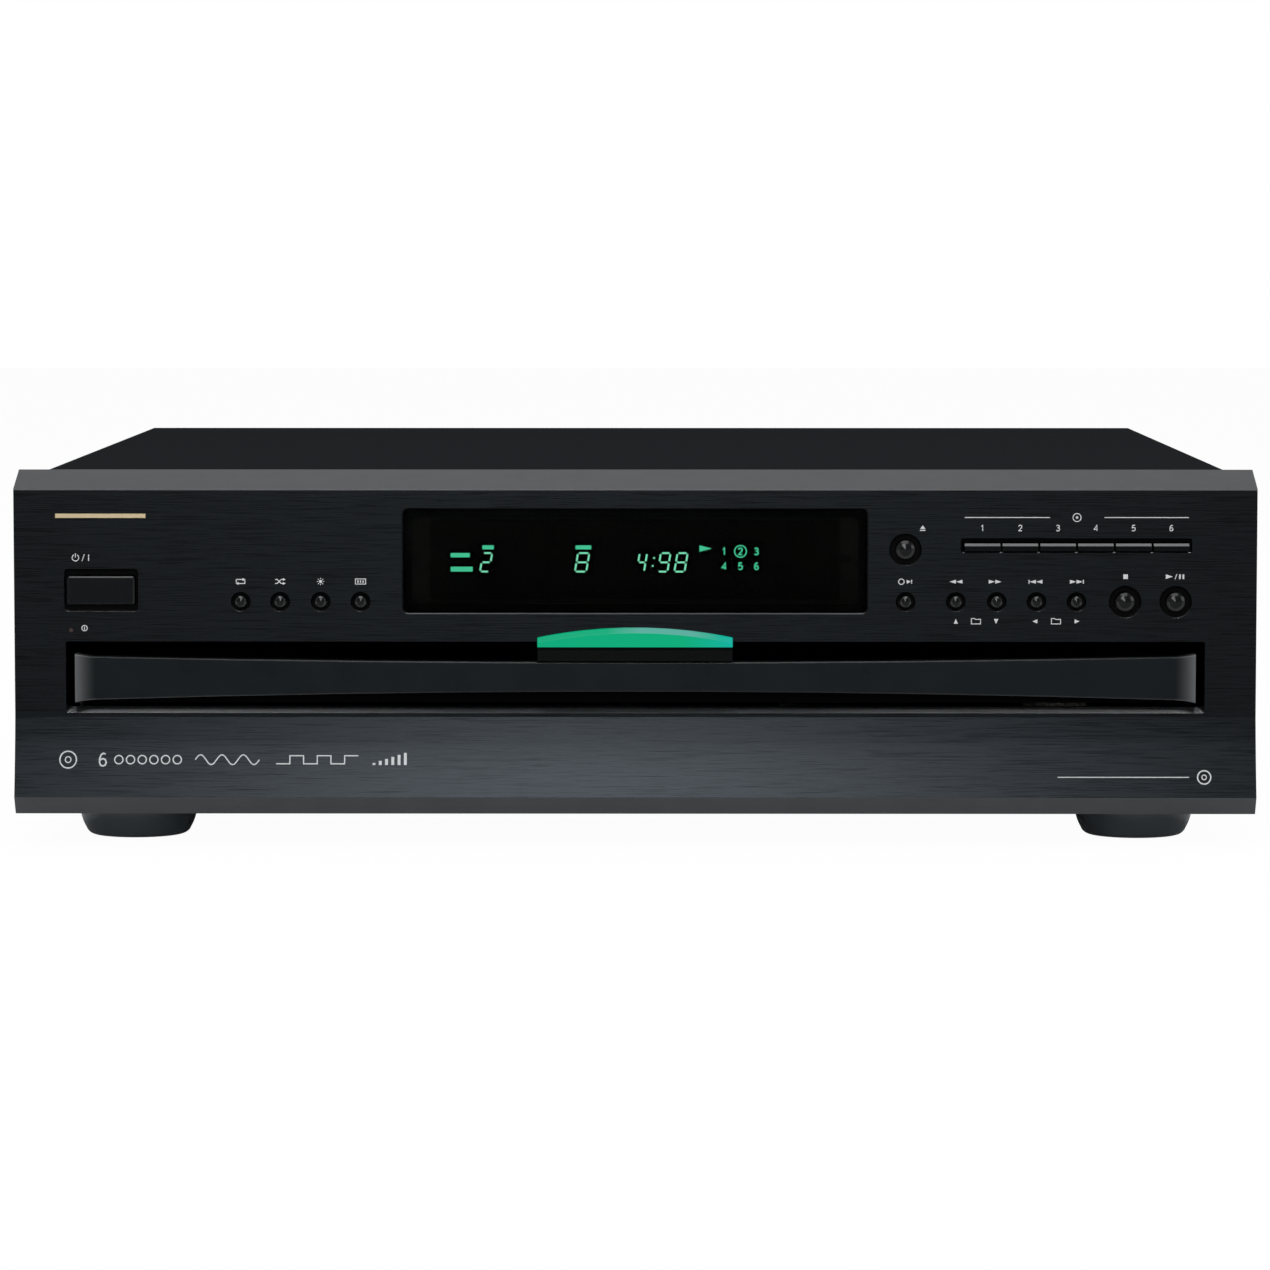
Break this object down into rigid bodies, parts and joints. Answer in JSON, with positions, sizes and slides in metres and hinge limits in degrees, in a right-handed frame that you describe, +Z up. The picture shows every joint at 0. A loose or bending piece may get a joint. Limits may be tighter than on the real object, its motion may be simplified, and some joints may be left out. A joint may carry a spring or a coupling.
{
  "type": "cd changer",
  "caption": "Black carousel disc changer with a brushed front, a display, rows of keys and a wide sliding drawer that carries a turning disc carousel.",
  "frame": {"origin": "centre of the bounding box's bottom face, on the surface under the feet", "axes": "+X to the right seen from the front, +Y to the back, +Z up"},
  "size_m": [0.435, 0.434, 0.132],
  "materials": {
    "frame_grey": "satin moulded, dark grey",
    "plate_black": "brushed and anodised black",
    "window_black": "polished smoked acrylic",
    "tube_glass": "clear",
    "board_green": "solder mask",
    "switch_black": "moulded",
    "lens_green": "translucent, softly lit",
    "holder_grey": "satin moulded",
    "lamp_red": "unlit light pipe",
    "zinc_sheet": "zinc plated sheet",
    "panel_black": "fine textured paint",
    "cover_black": "fine textured black paint",
    "screw_black": "blackened",
    "foot_black": "polished moulded",
    "core_steel": "varnished laminations",
    "socket_black": "moulded",
    "jack_brass": "gold plated",
    "mechanism_black": "glass filled moulding",
    "motor_steel": "plated can",
    "belt_rubber": "matt",
    "tray_black": "fine textured moulding",
    "bar_grey": "satin painted",
    "bright_steel": "turned",
    "carousel_black": "fine textured moulding",
    "gear_white": "natural acetal",
    "slider_white": "natural acetal",
    "platter_black": "matt pad",
    "pickup_metal": "die cast",
    "puck_white": "moulded",
    "power_black": "satin moulded",
    "button_black": "polished moulded",
    "key_grey": "satin"
  },
  "bodies": {
    "chassis": {"front_frame": "frame_grey", "front_plate": "plate_black", "display_window": "window_black", "display_tube": "tube_glass", "front_board": "board_green", "tact_switches": "switch_black", "tray_light_lens": "lens_green", "lens_holder": "holder_grey", "standby_lamp": "lamp_red", "chassis_base": "zinc_sheet", "rear_panel": "panel_black", "top_cover": "cover_black", "cover_screws": "screw_black", "front_feet": "foot_black", "rear_feet": "foot_black", "main_board": "board_green", "transformer": "core_steel", "power_inlet": "socket_black", "audio_jacks": "jack_brass", "optical_jack": "socket_black", "remote_jacks": "socket_black", "drawer_rails": "zinc_sheet", "lift_base": "mechanism_black", "clamp_bridge": "zinc_sheet", "drive_bracket": "mechanism_black", "drawer_motor": "motor_steel", "drawer_belt": "belt_rubber"},
    "drawer": {"drawer_tray": "tray_black", "drawer_front": "bar_grey", "carousel_axle": "bright_steel", "carousel_motor": "motor_steel"},
    "carousel": {"carousel": "carousel_black"},
    "carousel_gear": {"carousel_gear": "gear_white"},
    "drawer_pinion": {"drawer_pinion": "gear_white"},
    "motor_pulley": {"motor_pulley": "gear_white"},
    "lift": {"lift_frame": "mechanism_black", "spindle_motor": "motor_steel"},
    "cam_slider": {"cam_slider": "slider_white"},
    "platter": {"platter": "platter_black"},
    "pickup": {"pickup": "pickup_metal"},
    "clamp_puck": {"clamp_puck": "puck_white"},
    "button_repeat": {"button_repeat": "button_black"},
    "button_random": {"button_random": "button_black"},
    "button_dimmer": {"button_dimmer": "button_black"},
    "button_display": {"button_display": "button_black"},
    "button_disc_skip": {"button_disc_skip": "button_black"},
    "button_search_back": {"button_search_back": "button_black"},
    "button_search_forward": {"button_search_forward": "button_black"},
    "button_track_back": {"button_track_back": "button_black"},
    "button_track_forward": {"button_track_forward": "button_black"},
    "button_open_close": {"button_open_close": "button_black"},
    "button_stop": {"button_stop": "button_black"},
    "button_play_pause": {"button_play_pause": "button_black"},
    "button_power": {"button_power": "power_black"},
    "key_disc_1": {"key_disc_1": "key_grey"},
    "key_disc_2": {"key_disc_2": "key_grey"},
    "key_disc_3": {"key_disc_3": "key_grey"},
    "key_disc_4": {"key_disc_4": "key_grey"},
    "key_disc_5": {"key_disc_5": "key_grey"},
    "key_disc_6": {"key_disc_6": "key_grey"}
  },
  "joints": [
    {"name": "drawer_slide", "type": "slide", "parent": "chassis", "child": "drawer", "axis": [0, -1, 0], "range_m": [0, 0.235]},
    {"name": "carousel_turn", "type": "hinge", "parent": "drawer", "child": "carousel", "pos_m": [0, -0.01045, 0.0575], "axis": [0, 0, 1], "continuous": true},
    {"name": "carousel_gear_turn", "type": "hinge", "parent": "drawer", "child": "carousel_gear", "pos_m": [0.0317, 0.05752, 0.0532], "axis": [0, 0, 1], "continuous": true},
    {"name": "drawer_pinion_turn", "type": "hinge", "parent": "chassis", "child": "drawer_pinion", "pos_m": [0.15, -0.175, 0.04], "axis": [0, 0, -1], "range_deg": [0, 1283]},
    {"name": "motor_pulley_turn", "type": "hinge", "parent": "chassis", "child": "motor_pulley", "pos_m": [0.15, -0.133, 0.04], "axis": [0, 0, -1], "range_deg": [0, 4489]},
    {"name": "lift_rise", "type": "slide", "parent": "chassis", "child": "lift", "axis": [0, 0, 1], "range_m": [0, 0.011]},
    {"name": "cam_slide", "type": "slide", "parent": "chassis", "child": "cam_slider", "axis": [1, 0, 0], "range_m": [0, 0.022]},
    {"name": "platter_spin", "type": "hinge", "parent": "lift", "child": "platter", "pos_m": [0, 0.11555, 0.0526], "axis": [0, 0, 1], "continuous": true},
    {"name": "pickup_travel", "type": "slide", "parent": "lift", "child": "pickup", "axis": [0, 1, 0], "range_m": [0, 0.035]},
    {"name": "clamp_puck_spin", "type": "hinge", "parent": "chassis", "child": "clamp_puck", "pos_m": [0, 0.11555, 0.07], "axis": [0, 0, 1], "continuous": true},
    {"name": "press_repeat", "type": "slide", "parent": "chassis", "child": "button_repeat", "axis": [0, 1, 0], "range_m": [0, 0.0008], "stiffness_N_per_m": 150},
    {"name": "press_random", "type": "slide", "parent": "chassis", "child": "button_random", "axis": [0, 1, 0], "range_m": [0, 0.0008], "stiffness_N_per_m": 150},
    {"name": "press_dimmer", "type": "slide", "parent": "chassis", "child": "button_dimmer", "axis": [0, 1, 0], "range_m": [0, 0.0008], "stiffness_N_per_m": 150},
    {"name": "press_display", "type": "slide", "parent": "chassis", "child": "button_display", "axis": [0, 1, 0], "range_m": [0, 0.0008], "stiffness_N_per_m": 150},
    {"name": "press_disc_skip", "type": "slide", "parent": "chassis", "child": "button_disc_skip", "axis": [0, 1, 0], "range_m": [0, 0.0008], "stiffness_N_per_m": 150},
    {"name": "press_search_back", "type": "slide", "parent": "chassis", "child": "button_search_back", "axis": [0, 1, 0], "range_m": [0, 0.0008], "stiffness_N_per_m": 150},
    {"name": "press_search_forward", "type": "slide", "parent": "chassis", "child": "button_search_forward", "axis": [0, 1, 0], "range_m": [0, 0.0008], "stiffness_N_per_m": 150},
    {"name": "press_track_back", "type": "slide", "parent": "chassis", "child": "button_track_back", "axis": [0, 1, 0], "range_m": [0, 0.0008], "stiffness_N_per_m": 150},
    {"name": "press_track_forward", "type": "slide", "parent": "chassis", "child": "button_track_forward", "axis": [0, 1, 0], "range_m": [0, 0.0008], "stiffness_N_per_m": 150},
    {"name": "press_open_close", "type": "slide", "parent": "chassis", "child": "button_open_close", "axis": [0, 1, 0], "range_m": [0, 0.0008], "stiffness_N_per_m": 150},
    {"name": "press_stop", "type": "slide", "parent": "chassis", "child": "button_stop", "axis": [0, 1, 0], "range_m": [0, 0.0008], "stiffness_N_per_m": 150},
    {"name": "press_play_pause", "type": "slide", "parent": "chassis", "child": "button_play_pause", "axis": [0, 1, 0], "range_m": [0, 0.0008], "stiffness_N_per_m": 150},
    {"name": "press_power", "type": "slide", "parent": "chassis", "child": "button_power", "axis": [0, 1, 0], "range_m": [0, 0.002], "stiffness_N_per_m": 150},
    {"name": "press_disc_1", "type": "slide", "parent": "chassis", "child": "key_disc_1", "axis": [0, 1, 0], "range_m": [0, 0.0008], "stiffness_N_per_m": 150},
    {"name": "press_disc_2", "type": "slide", "parent": "chassis", "child": "key_disc_2", "axis": [0, 1, 0], "range_m": [0, 0.0008], "stiffness_N_per_m": 150},
    {"name": "press_disc_3", "type": "slide", "parent": "chassis", "child": "key_disc_3", "axis": [0, 1, 0], "range_m": [0, 0.0008], "stiffness_N_per_m": 150},
    {"name": "press_disc_4", "type": "slide", "parent": "chassis", "child": "key_disc_4", "axis": [0, 1, 0], "range_m": [0, 0.0008], "stiffness_N_per_m": 150},
    {"name": "press_disc_5", "type": "slide", "parent": "chassis", "child": "key_disc_5", "axis": [0, 1, 0], "range_m": [0, 0.0008], "stiffness_N_per_m": 150},
    {"name": "press_disc_6", "type": "slide", "parent": "chassis", "child": "key_disc_6", "axis": [0, 1, 0], "range_m": [0, 0.0008], "stiffness_N_per_m": 150}
  ],
  "couplings": [
    {"joint": "carousel_gear_turn", "follows": "carousel_turn", "ratio": -4},
    {"joint": "drawer_pinion_turn", "follows": "drawer_slide", "rad_per_m": 95.238},
    {"joint": "motor_pulley_turn", "follows": "drawer_slide", "rad_per_m": 333.33},
    {"joint": "cam_slide", "follows": "lift_rise", "ratio": 2}
  ]
}
